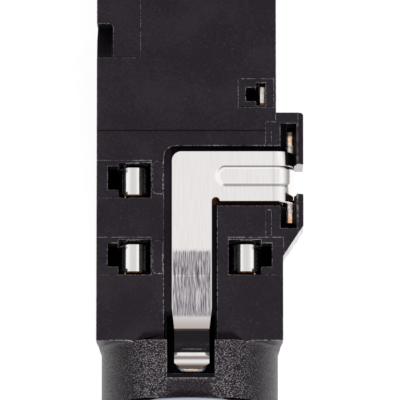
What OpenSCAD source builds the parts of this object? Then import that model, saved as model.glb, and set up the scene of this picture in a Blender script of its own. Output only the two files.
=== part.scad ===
// Audio jack socket for a circuit board, for a 6.35 mm three-pole plug.
// X runs across the socket, Y from the panel face to the rear, Z up from the board.
// The plug axis lies at X = 0, the panel face of the housing at Y = 0 and the board at Z = 0.

/* [Housing] */
// Width of the housing
body_w = 12.1; // [11.8:0.1:14]
// Length of the housing behind the panel face
body_l = 24; // [23:0.5:28]
// Height of the plug axis above the board
axis_h = 5.9; // [5.7:0.1:7]
// Height of the top face above the plug axis
top_rise = 4.54; // [4.5:0.01:5]
// How far the right side steps in behind the ear
rear_inset = 0.44; // [0.2:0.01:0.5]
// Taper of each side wall, measured at the board
side_taper = 0.58; // [0.2:0.02:0.6]
// Depth of the straight upper band of the side walls
band_h = 1.14; // [0.8:0.02:2]
// Radius of the upright corners at the rear
corner_r = 0.5; // [0.2:0.1:1]
// Height of the raised rear half of the top face
step_h = 0.06; // [0.03:0.01:0.1]
// Gap round every strip that is pressed into the housing
fit_gap = 0.04; // [0.02:0.01:0.05]

/* [Nose and bush] */
// Diameter of the moulded nose
nose_d = 11.5; // [11.1:0.05:11.7]
// Length of the moulded nose in front of the panel face
nose_l = 3.78; // [3.7:0.02:5]
// Height of the flat on the nose above the plug axis
nose_flat = 5; // [4.8:0.05:5.5]
// Radius of the fillet where the nose meets the panel face
nose_fillet = 0.35; // [0.2:0.05:0.6]
// Diameter of the contact chamber
chamber_d = 6.9; // [6.8:0.05:7]
// Depth of the contact chamber behind the panel face
chamber_l = 22; // [21:0.25:22.5]
// Diameter of the metal bush
bush_d = 11; // [10:0.1:11.2]
// Length of the bush in front of the nose
bush_l = 5.5; // [4:0.1:8]
// Bore of the bush
bush_bore = 6.5; // [6.4:0.02:6.6]
// Diameter of the bush's spigot inside the nose
spigot_d = 8.9; // [8:0.1:9.4]
// Length of the bush's spigot inside the nose
spigot_l = 1.1; // [0.6:0.05:1.15]
// Lead-in chamfer at the mouth of the bush
mouth_c = 0.6; // [0.2:0.05:1]
// Outer bevel of the bush
bush_c = 0.4; // [0.1:0.05:0.6]

/* [Sleeve contact] */
// Thickness of the sleeve strip
strip_t = 0.37; // [0.3:0.01:0.4]
// Width of the long spring arm
arm_w = 2.58; // [2.4:0.01:2.7]
// Centre line of the long arm across the socket
arm_x = 0.135; // [0:0.005:0.2]
// Width of the arm where it dips into the nose
tip_w = 2.27; // [1.8:0.01:2.4]
// Width of the cross leg
cross_w = 3.26; // [3:0.02:3.4]
// Centre line of the cross leg behind the panel face
cross_y = 10.83; // [10.7:0.01:11]
// Depth of the spring's upper face below the top face
arm_sink = 0.2; // [0.12:0.01:0.22]
// Inner radius of the bend at the side
bend_r = 0.76; // [0.72:0.01:0.8]
// Gap between the side wall and the upright plate
plate_gap = 0.31; // [0.28:0.01:0.4]
// Width of the stiffening bead across the bend
bead_w = 1.1; // [0.8:0.02:1.3]
// Height of the stiffening bead
bead_h = 0.12; // [0.06:0.01:0.16]
// Length of the shoulders that are pressed into the ears
shoulder_l = 6; // [5.6:0.05:6.2]
// Gap round the spring in its recess
recess_gap = 0.34; // [0.3:0.01:0.42]
// Gap on the left of the long arm
recess_left = 0.52; // [0.4:0.01:0.54]
// Depth of the recess below the top face
recess_d = 0.78; // [0.74:0.01:0.84]

/* [Ring, tip and detect contacts] */
// Diameter of the plug
plug_d = 6.35; // [6.3:0.01:6.4]
// How far a free contact stands inside the plug's surface
bite = 0.42; // [0.3:0.01:0.45]
// Thickness of the bowed strips
bow_t = 0.3; // [0.25:0.01:0.32]
// Width of the bowed strips
bow_w = 1.8; // [1.6:0.02:1.9]
// Width of an arch across its two legs
arch_w = 2; // [1.9:0.01:2.05]
// Bend radii of an arch, by the wall and by the plug
arch_bend = [0.45, 0.75]; // [0.3:0.05:0.8]
// Depth of an arch below the top face
arch_sink = 1; // [0.8:0.05:1.4]
// Centre of the ring contact behind the panel face
ring_y = 10.68; // [10.5:0.02:10.9]
// Centre of the two detect contacts behind the panel face
detect_y = 5.62; // [5.4:0.02:5.8]
// Gap behind and in front of a bowed contact in its window
window_gap = [0.1, 0.4]; // [0.05:0.01:0.5]
// Depth of the relief behind an arch
relief_d = 0.7; // [0.4:0.02:0.74]
// Width of the relief behind an arch
relief_w = 1.54; // [1:0.02:1.6]
// Centre of the tip contact behind the panel face
tip_y = 16.2; // [16:0.02:16.6]
// Width of the tip contact's plate
blade_w = 1.2; // [1.1:0.02:1.4]
// Width of the tongue cut out of that plate
tongue_w = 0.7; // [0.6:0.02:0.8]

/* [Board side] */
// Width of a solder pin
pin_w = 1.1; // [0.8:0.05:1.2]
// Length of a solder pin below the board plane
pin_l = 3.5; // [2.5:0.1:4.5]

/* [Hidden] */
$fn = 64;
plastic = "#2e2b30";
plated = "#dcdad6";
nickel = "#b9bfc9";
over = 1;

// Levels and side faces of the housing
half_w = body_w / 2;
rear_x = half_w - rear_inset;
z_top = axis_h + top_rise;
z_rear = z_top + step_h;
z_band = z_top - band_h;

// Sleeve spring: an L of strip, bent down at the side and dipped into the nose
arm_x0 = arm_x - arm_w / 2;
arm_x1 = arm_x + arm_w / 2;
cross_y0 = cross_y - cross_w / 2;
cross_y1 = cross_y + cross_w / 2;
arm_z = z_top - arm_sink - strip_t / 2;
plate_x = half_w + plate_gap + strip_t / 2;
bend_mid_r = bend_r + strip_t / 2;
bend_z = arm_z - bend_mid_r;
split_drop = 0.05;
split_z = bend_z - split_drop;
split_gap = 0.08;
arm_corner_r = 0.6;
notch_r = 0.26;
slope_y = 5.8;
slope_drop = 0.16;
dip_y = 0.85;
taper_l = 1.35;
valley = [-0.65, axis_h + plug_d / 2 - bite + strip_t / 2];
lip = valley + [-1.22, 0.5];
lip_cut = [0.5, 0.4];
arm_bend = [4, 0.35, 0.5];

// Recess under the spring, and the slot through which it reaches the plug
z_recess = z_top - recess_d;
slot_gap = [0.31, 0.19];
slot_rear = 1.8;
slot_front = -2.17;
slot_ledge = 0.33;

// Ears that hold the upright plate of the sleeve contact
ear_h = 3;
ear_wall = 0.65;
ear_x = plate_x + strip_t / 2 + ear_wall;
ear_gap = 1.95;
ear_gap_y = cross_y - 0.205;
ear_rear_l = 3.4;
ear_front_l = 2.08;
ear_y0 = ear_gap_y - ear_gap / 2;
ear_y1 = ear_gap_y + ear_gap / 2;
ear_rear = ear_y1 + ear_rear_l;
ear_front = ear_y0 - ear_front_l;
ear_slope = 2.04;
ear_corner = 0.12;
ear_chamfer = [0.36, 0.2];
seat_h = 0.4;
seat_z = z_top - ear_h + seat_h;
slot_end_gap = 0.45;
funnel_in = 0.66;
funnel_out = 0.38;
funnel_h = 1;
shoulder_y = cross_y + 0.13;
tail_gap = 0.15;
tail_w = ear_gap - 2 * tail_gap;
tail_z = 1.4;

// Bowed contacts: a leg by the plug, a leg by the wall and an arch between them
wall_x = 4.43;
arch_x = wall_x - arch_w + bow_t;
arch_r = (wall_x - arch_x) / 2;
arch_z = z_top - arch_sink - bow_t / 2 - arch_r;
touch_drop = 0.1;
leg_flare = [0.32, -1.05];
leg_bend = 0.8;
touch = [plug_d / 2 - bite + bow_t / 2, axis_h - touch_drop];
leg_end = touch + leg_flare;
bow_split_z = arch_z - split_drop;
floor_z = 3.8;
relief_z = 5;
window_in = 0.06;

// Tip contact: a plate by the right wall with a tongue cut out of it
blade_x = 4.73;
blade_sink = 0.6;
blade_top = z_top - blade_sink;
blade_gap = 0.15;
blade_front_gap = 0.27;
tongue_sink = 1.9;
tongue_z = z_top - tongue_sink;
tongue_gap = 0.1;
tongue_root = 0.15;
tongue_slot = 1.08;
tongue_roof = 1.7;
tongue_bend = [0.2, 0.6];
tongue_floor = 0.6;

// Low relief of the top face
step_gap = 1.34;
step_y = cross_y1 + step_gap;
step_x = 4.95;
ear_panel_l = 0.55;
ear_panel_y = step_y + ear_panel_l;
frame_d = 0.05;
frame_y = [-1.29, 1.13];
frame_margin = [[-1.56, -0.86], [0.71, 1]];
corner_panel = [-3.23, 18.63];
corner_notch = [1.05, 2.24];
corner_notch_z = [0.3, 1.7];
rib_x = [-2.42, -1.74];
rib_y = [[4.36, 6.58], [9.6, 11.8]];
rib_h = 0.06;
rib_r = 0.3;
groove_x = [4.95, 5.27];
groove_y = [[6.95, 8.55], [12.95, 13.7]];
groove_d = 0.08;

// Point lists for bent strips
function unit(v) = v / norm(v);
function turn(p, a, b, r, n) =
    let (u = unit(a - p), v = unit(b - p), half = acos(u * v) / 2,
         c = p + unit(u + v) * r / sin(half),
         s = p + u * r / tan(half) - c, e = p + v * r / tan(half) - c,
         a0 = atan2(s.y, s.x), raw = atan2(e.y, e.x) - a0,
         sweep = raw > 180 ? raw - 360 : raw < -180 ? raw + 360 : raw)
    [for (i = [0:n]) c + r * [cos(a0 + sweep * i / n), sin(a0 + sweep * i / n)]];
function rounded(path, radii, n = 10) = concat(
    [path[0]],
    [for (i = [1:len(path) - 2]) each turn(path[i], path[i - 1], path[i + 1], radii[i - 1], n)],
    [path[len(path) - 1]]);
function left_of(a, b) = let (d = unit(b - a)) [-d.y, d.x];
function side_line(path, d) = let (last = len(path) - 1) [for (i = [0:last])
    i == 0 ? path[0] + d * left_of(path[0], path[1])
    : i == last ? path[last] + d * left_of(path[last - 1], path[last])
    : let (m = unit(left_of(path[i - 1], path[i]) + left_of(path[i], path[i + 1])))
      path[i] + m * d / (m * left_of(path[i], path[i + 1]))];
function reversed(list) = [for (i = [len(list) - 1:-1:0]) list[i]];
function strip_outline(path, t) = concat(side_line(path, t / 2), reversed(side_line(path, -t / 2)));

// A strip of width w whose bent centre line lies in the XZ plane
module strip_xz(path, w, t)
    rotate([90, 0, 0]) linear_extrude(w, center = true) polygon(strip_outline(path, t));

// A strip between two X values whose bent centre line lies in the YZ plane
module strip_yz(path, x0, x1, t)
    translate([x0, 0, 0]) rotate([90, 0, 90]) linear_extrude(x1 - x0) polygon(strip_outline(path, t));

// A box given by its two corners
module block(low, high) translate(low) cube(high - low);

// The part of a square corner at (x, y) that lies outside a radius; (sx, sy) points outwards
module corner_waste(x, y, sx, sy, r) difference() {
    translate([x - (sx > 0 ? r : over), y - (sy > 0 ? r : over)]) square(r + over);
    translate([x - sx * r, y - sy * r]) circle(r);
    translate([x - (sx > 0 ? r + over : 0), y - (sy > 0 ? 2 * r + over : -r)]) square([r + over, r + over]);
    translate([x - (sx > 0 ? 2 * r + over : -r), y - (sy > 0 ? r + over : 0)]) square([r + over, r + over]);
}

// L-shaped outline of the sleeve spring, grown by g and on the left by g_left, from y_end to the cross leg
// and out to x_end
module sleeve_plan(g, g_left, y_end, x_end) difference() {
    union() {
        translate([arm_x0 - g_left, y_end]) square([arm_w + g_left + g, cross_y1 + g - y_end]);
        translate([arm_x0 - g_left, cross_y0 - g]) square([x_end - arm_x0 + g_left, cross_w + 2 * g]);
    }
    corner_waste(arm_x0 - g_left, cross_y1 + g, -1, 1, arm_corner_r + g / 2);
}

// Housing

module plan() difference() {
    union() {
        translate([-half_w, 0]) square([body_w, ear_rear]);
        translate([-half_w, 0]) square([half_w + rear_x, body_l]);
    }
    corner_waste(-half_w, body_l, -1, 1, corner_r);
    corner_waste(rear_x, body_l, 1, 1, corner_r);
}

// Cross-section with straight upper sides and tapered lower ones
module section(right, y0, y1) translate([0, y1, 0]) rotate([90, 0, 0]) linear_extrude(y1 - y0)
    polygon([[-half_w + side_taper, 0], [right - side_taper, 0], [right, z_band], [right, z_top],
             [-half_w, z_top], [-half_w, z_band]]);

module shell() intersection() {
    union() {
        section(half_w, 0, ear_rear);
        section(rear_x, ear_rear - over, body_l);
        difference() {
            block([-half_w, step_y, z_band], [rear_x, body_l, z_rear]);
            block([step_x, 0, z_top], [body_w, ear_panel_y, z_rear + over]);
            block([-body_w, corner_panel.y, z_top], [corner_panel.x, body_l + over, z_rear + over]);
        }
    }
    linear_extrude(z_rear) plan();
}

module ear_block(points) translate([0, 0, z_top - ear_h]) linear_extrude(ear_h) polygon(points);

module ears() difference() {
    union() {
        ear_block([[rear_x - over, ear_y1], [ear_x, ear_y1], [ear_x, ear_rear - ear_corner],
                   [ear_x - ear_corner, ear_rear], [rear_x - over, ear_rear]]);
        ear_block([[rear_x - over, ear_y0], [rear_x - over, ear_front - ear_slope],
                   [half_w, ear_front - ear_slope], [ear_x, ear_front], [ear_x, ear_y0]]);
    }
    translate([ear_x, body_l, z_top]) rotate([90, 0, 0]) linear_extrude(body_l)
        polygon([[-ear_chamfer.x, 0], [0, -ear_chamfer.y], [over, -ear_chamfer.y], [over, over],
                 [-ear_chamfer.x, over]]);
}

module nose() intersection() {
    translate([0, 0, axis_h]) rotate([90, 0, 0]) cylinder(h = nose_l, d = nose_d, $fn = 128);
    block([-nose_d, -nose_l, -over], [nose_d, 0, axis_h + nose_flat]);
}

// Fillet between the nose and the panel face, inside the outline of that face
module nose_root() intersection() {
    translate([0, 0, axis_h]) rotate([90, 0, 0]) rotate_extrude($fn = 128) difference() {
        square([nose_d / 2 + nose_fillet, nose_fillet]);
        translate([nose_d / 2 + nose_fillet, nose_fillet]) circle(nose_fillet, $fn = 48);
    }
    section(half_w, -nose_fillet, 0);
}

// Contact chamber, with the wider seat of the bush's spigot at its mouth
module chamber() translate([0, 0, axis_h]) {
    rotate([-90, 0, 0]) translate([0, 0, -nose_l - over])
        cylinder(h = nose_l + over + chamber_l, d = chamber_d);
    rotate([90, 0, 0]) translate([0, 0, nose_l - spigot_l])
        cylinder(h = spigot_l + over, d = spigot_d + 2 * fit_gap);
}

module spring_recess() {
    translate([0, 0, z_recess]) linear_extrude(recess_d + over)
        sleeve_plan(recess_gap, recess_left, 0, plate_x + strip_t / 2);
    block([half_w, cross_y0 - recess_gap, bend_z - 2 * split_gap],
          [plate_x, cross_y1 + recess_gap, z_top + over]);
    block([arm_x0 - slot_gap[0], slot_front, axis_h], [arm_x1 + slot_gap[1], slot_rear, z_top + 2 * over]);
    translate([arm_x0 - slot_gap[0], slot_front, axis_h + nose_flat]) rotate([90, 0, 90])
        linear_extrude(arm_w + slot_gap[0] + slot_gap[1])
            polygon([[0, -slot_ledge], [-slot_ledge, 0], [-slot_ledge, over], [over, over],
                     [over, -slot_ledge]]);
}

// Slots in the ears: a funnel above a close slot in which the shoulders sit
module ear_slots() {
    half_t = strip_t / 2 + fit_gap;
    translate([plate_x, cross_y, 0]) rotate([90, 0, 0])
        linear_extrude(shoulder_l + 2 * slot_end_gap, center = true)
            polygon([[-half_t, seat_z], [half_t, seat_z], [half_t, z_top - funnel_h],
                     [funnel_out, z_top - funnel_h / 2], [funnel_out, z_top + over],
                     [-funnel_in, z_top + over], [-funnel_in, z_top - funnel_h / 2],
                     [-half_t, z_top - funnel_h]]);
}

// Close slot for a solder pin whose strip is t thick and stands at x
module pin_slot(x, t) block([x - t / 2 - fit_gap, -pin_w / 2 - fit_gap, -over],
                            [x + t / 2 + fit_gap, pin_w / 2 + fit_gap, floor_z + over]);

// Window and pocket of a bowed contact on the right-hand side
module bow_pocket() {
    x_in = arch_x - bow_t / 2 - window_in;
    x_out = wall_x + bow_t / 2 + fit_gap;
    block([x_in, -bow_w / 2 - window_gap[1], floor_z], [x_out, bow_w / 2 + window_gap[0], z_top + over]);
    block([x_out - over, -relief_w / 2, relief_z], [x_out + relief_d, relief_w / 2, z_top + over]);
    block([x_in, frame_y[0], z_top - frame_d], [half_w, frame_y[1], z_top + over]);
    pin_slot(wall_x, bow_t);
}

// Window and pocket of the tip contact: a slot for its plate and a narrower one for the tongue
module tip_pocket() {
    half_slot = blade_w / 2 + blade_gap;
    half_tongue = tongue_w / 2 + tongue_gap;
    block([blade_x - bow_t / 2 - blade_front_gap, -half_slot, floor_z],
          [blade_x + bow_t / 2 + fit_gap, half_slot, z_rear + over]);
    block([blade_x - tongue_slot, -half_tongue, floor_z], [blade_x, half_tongue, z_rear + over]);
    block([touch.x - 2 * bow_t, -half_tongue, floor_z], [blade_x, half_tongue, axis_h + tongue_roof]);
    block([blade_x + frame_margin[0].x, frame_margin[0].y, z_rear - step_h],
          [blade_x + frame_margin[1].x, frame_margin[1].y, z_rear + over]);
    pin_slot(blade_x, bow_t);
}

// Notch in the left rear edge, with a sloping floor
module rear_notch() translate([-half_w - over, corner_panel.y, z_top]) rotate([90, 0, 90])
    linear_extrude(corner_notch.x + over)
        polygon([[0, -corner_notch_z[0]], [corner_notch.y, -corner_notch_z[1]], [corner_notch.y, over],
                 [0, over]]);

// Shallow grooves beside the ears
module grooves() for (y = groove_y)
    block([groove_x[0], y[0], z_top - groove_d], [groove_x[1], y[1], z_top + over]);

// Low ribs between the long arm and the windows on its left
module ribs() for (y = rib_y) translate([0, 0, z_top - over]) linear_extrude(over + rib_h) difference() {
    translate([rib_x[0], y[0]]) square([rib_x[1] - rib_x[0], y[1] - y[0]]);
    corner_waste(rib_x[0], y[0], -1, -1, rib_r);
    corner_waste(rib_x[0], y[1], -1, 1, rib_r);
}

module housing() color(plastic) difference() {
    union() {
        shell();
        ears();
        nose();
        nose_root();
        ribs();
    }
    chamber();
    spring_recess();
    ear_slots();
    for (y = [ring_y, detect_y]) translate([0, y, 0]) mirror([1, 0, 0]) bow_pocket();
    translate([0, detect_y, 0]) bow_pocket();
    translate([0, tip_y, 0]) tip_pocket();
    rear_notch();
    grooves();
}

// Turned metal bush that carries the panel nut and guides the plug
module bush() color(nickel)
    translate([0, spigot_l - nose_l, axis_h]) rotate([90, 0, 0]) rotate_extrude($fn = 128)
        polygon([[bush_bore / 2, 0], [spigot_d / 2, 0], [spigot_d / 2, spigot_l], [bush_d / 2, spigot_l],
                 [bush_d / 2, spigot_l + bush_l - bush_c], [bush_d / 2 - bush_c, spigot_l + bush_l],
                 [bush_bore / 2 + mouth_c, spigot_l + bush_l], [bush_bore / 2, spigot_l + bush_l - mouth_c]]);

// Contacts

// Upright plate of the sleeve contact: shoulders in the ears, a tail between them, a pin below
module sleeve_terminal() color(plated) {
    x0 = plate_x - strip_t / 2;
    x1 = plate_x + strip_t / 2;
    block([x0, shoulder_y - shoulder_l / 2, seat_z], [x1, shoulder_y + shoulder_l / 2, split_z - split_gap]);
    block([x0, ear_gap_y - tail_w / 2, tail_z], [x1, ear_gap_y + tail_w / 2, seat_z + strip_t]);
    block([x0, ear_gap_y - pin_w / 2, -pin_l], [x1, ear_gap_y + pin_w / 2, tail_z + strip_t]);
}

// Stiffening bead pressed up across the bend
module bead() strip_xz(rounded([[arm_x1 + notch_r, arm_z + bead_h], [plate_x + bead_h, arm_z + bead_h],
                                [plate_x + bead_h, split_z]], [bend_mid_r + bead_h]), bead_w, strip_t);

// Outline of the long arm from its slope to its tip
module arm_plan() {
    tip_x0 = arm_x - tip_w / 2;
    tip_x1 = arm_x + tip_w / 2;
    polygon([[arm_x0, slope_y], [arm_x0, dip_y + taper_l], [tip_x0, dip_y], [tip_x0, lip.x + lip_cut.y],
             [tip_x0 + lip_cut.x, lip.x - strip_t], [tip_x1 - lip_cut.x, lip.x - strip_t],
             [tip_x1, lip.x + lip_cut.y], [tip_x1, dip_y], [arm_x1, dip_y + taper_l], [arm_x1, slope_y]]);
}

module sleeve_spring() color(plated) intersection() {
    union() {
        strip_yz(rounded([[cross_y1, arm_z], [slope_y, arm_z], [dip_y, arm_z - slope_drop], valley, lip],
                         arm_bend), arm_x0, arm_x1, strip_t);
        difference() {
            translate([0, cross_y, 0]) {
                strip_xz(rounded([[arm_x0, arm_z], [plate_x, arm_z], [plate_x, split_z]], [bend_mid_r]),
                         cross_w, strip_t);
                bead();
            }
            translate([arm_x1 + notch_r, cross_y0, 0]) cylinder(r = notch_r, h = z_top);
        }
    }
    translate([0, 0, axis_h]) linear_extrude(top_rise) union() {
        sleeve_plan(0, 0, slope_y, plate_x + over);
        arm_plan();
    }
}

// Fixed leg of a bowed contact, with its solder pin
module bow_terminal() color(plated) {
    x0 = wall_x - bow_t / 2;
    x1 = wall_x + bow_t / 2;
    block([x0, -bow_w / 2, floor_z], [x1, bow_w / 2, bow_split_z - split_gap]);
    block([x0, -pin_w / 2, -pin_l], [x1, pin_w / 2, floor_z + bow_t]);
}

// Arch and free leg of a bowed contact
module bow_spring() color(plated)
    strip_xz(rounded([[wall_x, bow_split_z], [wall_x, arch_z + arch_r], [arch_x, arch_z + arch_r], touch,
                      leg_end], [arch_bend[0], arch_bend[1], leg_bend]), bow_w, bow_t);

module ring_terminal() translate([0, ring_y, 0]) mirror([1, 0, 0]) bow_terminal();
module ring_spring() translate([0, ring_y, 0]) mirror([1, 0, 0]) bow_spring();
module left_detect_terminal() translate([0, detect_y, 0]) mirror([1, 0, 0]) bow_terminal();
module left_detect_spring() translate([0, detect_y, 0]) mirror([1, 0, 0]) bow_spring();
module right_detect_terminal() translate([0, detect_y, 0]) bow_terminal();
module right_detect_spring() translate([0, detect_y, 0]) bow_spring();

// Plate of the tip contact, with the opening that its tongue was cut from
module tip_terminal() color(plated) translate([0, tip_y, 0]) {
    x0 = blade_x - bow_t / 2;
    x1 = blade_x + bow_t / 2;
    half_cut = tongue_w / 2 + tongue_gap;
    difference() {
        block([x0, -blade_w / 2, floor_z], [x1, blade_w / 2, blade_top]);
        block([x0 - over, -half_cut, floor_z + tongue_floor], [x1 + over, half_cut, tongue_z + split_gap]);
    }
    block([x0, -pin_w / 2, -pin_l], [x1, pin_w / 2, floor_z + bow_t]);
}

// Tongue of the tip contact, bent in towards the plug
module tip_spring() color(plated) translate([0, tip_y, 0])
    strip_xz(rounded([[blade_x, tongue_z], [blade_x, tongue_z - tongue_root], touch, leg_end], tongue_bend),
             tongue_w, bow_t);

housing();
bush();
sleeve_terminal();
sleeve_spring();
ring_terminal();
ring_spring();
tip_terminal();
tip_spring();
left_detect_terminal();
left_detect_spring();
right_detect_terminal();
right_detect_spring();
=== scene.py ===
import math

import bmesh
import bpy
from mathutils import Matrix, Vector


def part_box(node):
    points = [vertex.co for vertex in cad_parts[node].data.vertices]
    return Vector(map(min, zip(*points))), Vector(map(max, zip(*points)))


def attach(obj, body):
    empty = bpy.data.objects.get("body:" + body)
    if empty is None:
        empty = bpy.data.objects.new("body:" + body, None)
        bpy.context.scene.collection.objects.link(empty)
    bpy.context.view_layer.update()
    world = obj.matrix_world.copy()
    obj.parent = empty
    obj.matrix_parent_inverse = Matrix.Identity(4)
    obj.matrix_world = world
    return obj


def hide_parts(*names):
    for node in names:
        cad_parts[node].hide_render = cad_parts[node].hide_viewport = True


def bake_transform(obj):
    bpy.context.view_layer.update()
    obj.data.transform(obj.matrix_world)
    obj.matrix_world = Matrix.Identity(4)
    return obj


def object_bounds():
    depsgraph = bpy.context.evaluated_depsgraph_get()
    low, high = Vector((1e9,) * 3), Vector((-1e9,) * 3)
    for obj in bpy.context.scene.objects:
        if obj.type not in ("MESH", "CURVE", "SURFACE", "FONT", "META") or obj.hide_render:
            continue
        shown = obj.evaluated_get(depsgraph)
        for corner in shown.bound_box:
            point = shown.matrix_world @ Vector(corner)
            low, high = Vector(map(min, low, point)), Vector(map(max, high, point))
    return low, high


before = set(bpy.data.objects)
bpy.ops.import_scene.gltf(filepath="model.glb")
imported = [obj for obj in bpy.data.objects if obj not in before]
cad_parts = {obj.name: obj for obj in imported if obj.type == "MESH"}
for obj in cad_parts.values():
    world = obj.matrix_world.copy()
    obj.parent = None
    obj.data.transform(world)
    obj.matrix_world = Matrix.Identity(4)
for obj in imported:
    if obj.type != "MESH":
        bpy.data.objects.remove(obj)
cad_low, cad_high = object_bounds()

MM = 0.001

# Tolerances and steps of the mesh work
HAIR = 0.0005 * MM
SOLID_WELD = 0.001 * MM
STRIP_WELD = 0.002 * MM
PIN_SHORTER = 0.002 * MM
CLOSE = 0.01 * MM
FLAT_ANGLE = math.radians(0.5)
ARC_STEPS = 12
EDGE_STEPS = 2
INNER_STEPS = 4

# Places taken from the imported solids, in metres
housing_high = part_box("housing")[1]
bush_low, bush_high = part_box("bush")
plate_low, plate_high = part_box("sleeve_terminal")
arm_low, arm_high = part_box("sleeve_spring")
blade_low, blade_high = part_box("tip_terminal")
axis_z = (bush_low.z + bush_high.z) / 2
pin_end = plate_low.z + PIN_SHORTER

# Housing: rounded edges, where their wear and painted highlight change, and where the finish changes
EDGE_ROUND = 0.042 * MM
ROUNDED_FROM = math.radians(25)
SHARP_FROM = math.radians(32)
INNER_CORNER = 0.18 * MM
INNER_FOLD = -1.5
NOTCH_X = -4.6 * MM
NOTCH_Y = 18 * MM
NOTCH_HEIGHT = 1 * MM
NOSE_GRAIN_RADIUS = 5.2 * MM
NOSE_FLAT_X = 2.4 * MM
STEP_Y = 13.8 * MM
RECESS_Z = 9.66 * MM
RECESS_BAND = 0.15 * MM
ARM_RECESS_X = 2 * MM
ARM_RECESS_Y = 9.4 * MM
EDGE_BAND = 0.1 * MM
COMMON_WEAR_AND_HIGHLIGHT = 0.68
EDGE_LAYER = "moulded_edge"
SQUARE_ON = 0.9     # share of a normal along an axis, from which the face looks along that axis
UPWARD = 0.3        # share of a normal along z, from which the face is an upper one

# Bush: thread and turned form
BUSH_BORE = 3.25 * MM
BUSH_SPIGOT = 4.45 * MM
BUSH_SPIGOT_LENGTH = 1.1 * MM
BUSH_MOUTH = 0.6 * MM
BUSH_BEVEL = 0.4 * MM
BUSH_SHARP_FROM = math.radians(55)
COLLAR_LENGTH = 0.5 * MM
COLLAR_ROUND = 0.22 * MM
COLLAR_STEPS = 6
THREAD_PITCH = 0.75 * MM
THREAD_DEPTH = 0.36 * MM
THREAD_RUN_OUT = 0.4 * MM
THREAD_STEPS = 12
FLANK_SLOPE = 1.3
CREST_SHARE = 0.15
TURN_STEPS = 96

# Sleeve contact: an L of strip on the top face
STRIP_T = plate_high.x - plate_low.x
ARM_WIDTH = 2.58 * MM
ARM_TIP_WIDTH = 2.27 * MM
CROSS_WIDTH = 3.26 * MM
BEAD_HEIGHT = 0.12 * MM
BEAD_WIDTH = 1.1 * MM
BEAD_START = 1.7 * MM
BEAD_LEAD = 0.15 * MM
BEAD_REAR_EDGE = 0.2 * MM
BEAD_FRONT_EDGE = 0.265 * MM
BEAD_END_FADE = 0.22 * MM
BEAD_FOOT = 0.3 * MM
BEAD_STRAIGHT = 0.9
BEAD_LINES = 16
BEAD_END_STEP = 0.05 * MM
BEAD_END_STEPS = 18
BEND_RADIUS = 0.945 * MM
BEND_STEPS = 14
CORNER_RADIUS = 0.6 * MM
CORNER_STEPS = 10
NOTCH_RADIUS = 0.26 * MM
SLOPE_Y = 5.8 * MM
SLOPE_DROP = 0.16 * MM
DIP_Y = 0.85 * MM
TAPER_LENGTH = 1.35 * MM
VALLEY = Vector((-0.65 * MM, axis_z + 2.94 * MM))
LIP = VALLEY + Vector((-1.12 * MM, 0.46 * MM))
LIP_CUT = Vector((0.5 * MM, 0.4 * MM))
ARM_BEND_RADII = (4 * MM, 0.35 * MM, 0.5 * MM)
TINNED_SHOULDER = 0.62 * MM
PALE_BEND = 0.25 * MM
TAIL_Y = 10.625 * MM
TAIL_WIDTH = 1.65 * MM
TAIL_TOP = 7.84 * MM
TAIL_END = 1.4 * MM
PIN_WIDTH = 1.1 * MM
cross_rear = arm_high.y
cross_front = arm_high.y - CROSS_WIDTH
cross_middle = arm_high.y - CROSS_WIDTH / 2

# Bowed and tip contacts
BOW_T = 0.3 * MM
BOW_WIDTH = 1.8 * MM
WALL_X = 4.43 * MM
ARCH_X = 2.73 * MM
ARCH_TOP = 9.29 * MM
ARCH_RADII = (0.6 * MM, 0.85 * MM)
ARCH_ROOT = 8.39 * MM
TOUCH = Vector((2.905 * MM, 5.8 * MM))
LEG_END = TOUCH + Vector((0.32 * MM, -1.05 * MM))
LEG_RADIUS = 0.8 * MM
CURL_LENGTH = 0.3 * MM
CURL_RISE = 0.025 * MM
CURL_STEPS = 5
SHEAR_BASE = 9.15 * MM
SHEAR_LENGTH = 0.07 * MM
SHEAR_DROP = 0.04 * MM
POCKET_FLOOR = 3.8 * MM
TONGUE_WIDTH = 0.7 * MM
TONGUE_GAP = 0.1 * MM
TONGUE_TOP = 8.54 * MM
TONGUE_ROOT = 0.15 * MM
TONGUE_RADII = (0.2 * MM, 0.6 * MM)
BLADE_BARE_END = 0.14 * MM
STRIP_EDGE_ROUND = 0.035 * MM
STRIP_EDGE_FROM = math.radians(50)


# Scene and mesh helpers


def in_scene(name, data):
    """A new object of the scene, made of a mesh, a light or a camera."""
    made = bpy.data.objects.new(name, data)
    bpy.context.scene.collection.objects.link(made)
    return made


def meshed(name, bm, finishes):
    """Turns a bmesh into an object of the scene with the given materials."""
    mesh = bpy.data.meshes.new(name)
    bm.to_mesh(mesh)
    bm.free()
    for finish in finishes:
        mesh.materials.append(finish)
    return in_scene(name, mesh)


def piece(name, bm, finishes, replaced):
    """Turns a bmesh into a shown piece that stands for the named solids."""
    made = meshed(name, bm, finishes)
    for face in made.data.polygons:
        face.use_smooth = True
    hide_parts(*replaced)
    return made


def copy_of(node):
    """A merged copy of a solid's mesh, with its flat faces made whole."""
    bm = bmesh.new()
    bm.from_mesh(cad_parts[node].data)
    bmesh.ops.remove_doubles(bm, verts=bm.verts, dist=SOLID_WELD)
    bmesh.ops.dissolve_limit(bm, angle_limit=FLAT_ANGLE, verts=bm.verts, edges=bm.edges)
    return bm


def face_weighted(made):
    """Keeps flat faces flat beside their small rounded edges."""
    modifier = made.modifiers.new("face_weighted", "WEIGHTED_NORMAL")
    modifier.keep_sharp = True


def stamped(made, thickness):
    """Gives a bent sheet its thickness: plated faces, bare cut edges, corners slightly rounded."""
    solid = made.modifiers.new("thickness", "SOLIDIFY")
    solid.thickness = thickness
    solid.offset = 0
    solid.use_even_offset = True
    solid.material_offset_rim = 1
    edge = made.modifiers.new("edge", "BEVEL")
    edge.width = STRIP_EDGE_ROUND
    edge.segments = EDGE_STEPS
    edge.limit_method = "ANGLE"
    edge.angle_limit = STRIP_EDGE_FROM
    face_weighted(made)


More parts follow.
